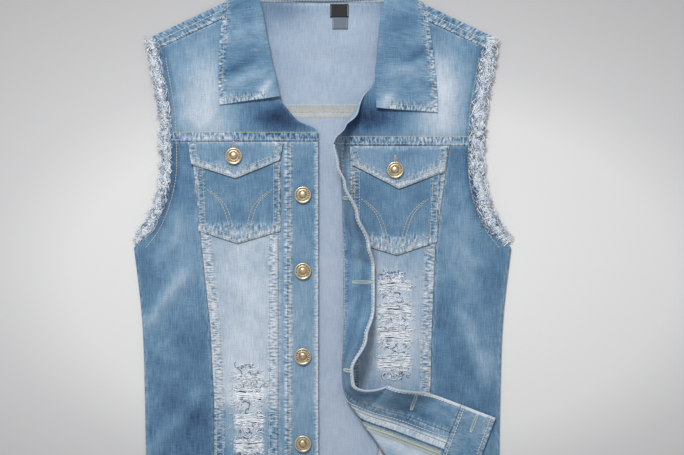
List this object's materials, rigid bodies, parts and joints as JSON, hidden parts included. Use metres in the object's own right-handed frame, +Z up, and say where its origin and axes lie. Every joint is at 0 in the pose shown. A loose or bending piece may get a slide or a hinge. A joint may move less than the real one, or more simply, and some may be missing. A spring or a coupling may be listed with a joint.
{
  "type": "denim vest",
  "caption": "Sleeveless denim jacket laid flat and unbuttoned, with frayed armholes, flap pockets and worn rips.",
  "frame": {"origin": "middle of the garment's box, on the surface that it lies on", "axes": "+Y from the hem to the collar, +Z up out of the surface and the front of the vest, +X to the wearer's left"},
  "size_m": [0.452, 0.6881, 0.0464],
  "materials": {
    "washed_denim": "matt, washed mid-blue twill",
    "pale_denim": "matt, bleached pale blue twill",
    "frayed_cotton": "loose cotton ends, matt",
    "brass": "aged, semi-bright",
    "label_satin": "woven satin, bare",
    "label_tape": "plain tape, bare"
  },
  "bodies": {
    "root": {"back_centre_panel": "pale_denim", "back_left_side_panel": "washed_denim", "back_right_side_panel": "washed_denim", "back_waistband": "washed_denim", "back_yoke": "pale_denim", "neck_label": "label_satin", "size_tab": "label_tape", "collar": "washed_denim", "right_placket": "washed_denim", "right_inner_panel": "washed_denim", "right_side_panel": "washed_denim", "right_front_waistband": "washed_denim", "right_pocket": "washed_denim", "right_pocket_flap": "washed_denim", "right_front_yoke": "pale_denim", "right_centre_panel": "pale_denim", "right_rip_threads": "frayed_cotton", "right_front_fringe": "frayed_cotton", "right_back_fringe": "frayed_cotton", "right_flap_button": "brass", "left_placket": "washed_denim", "left_inner_panel": "washed_denim", "left_side_panel": "washed_denim", "left_front_waistband": "washed_denim", "left_pocket": "washed_denim", "left_pocket_flap": "washed_denim", "left_front_yoke": "pale_denim", "left_centre_panel": "pale_denim", "left_rip_threads": "frayed_cotton", "left_front_fringe": "frayed_cotton", "left_back_fringe": "frayed_cotton", "left_flap_button": "brass", "button_1": "brass", "button_2": "brass", "button_3": "brass", "button_4": "brass", "button_5": "brass"}
  },
  "joints": []
}
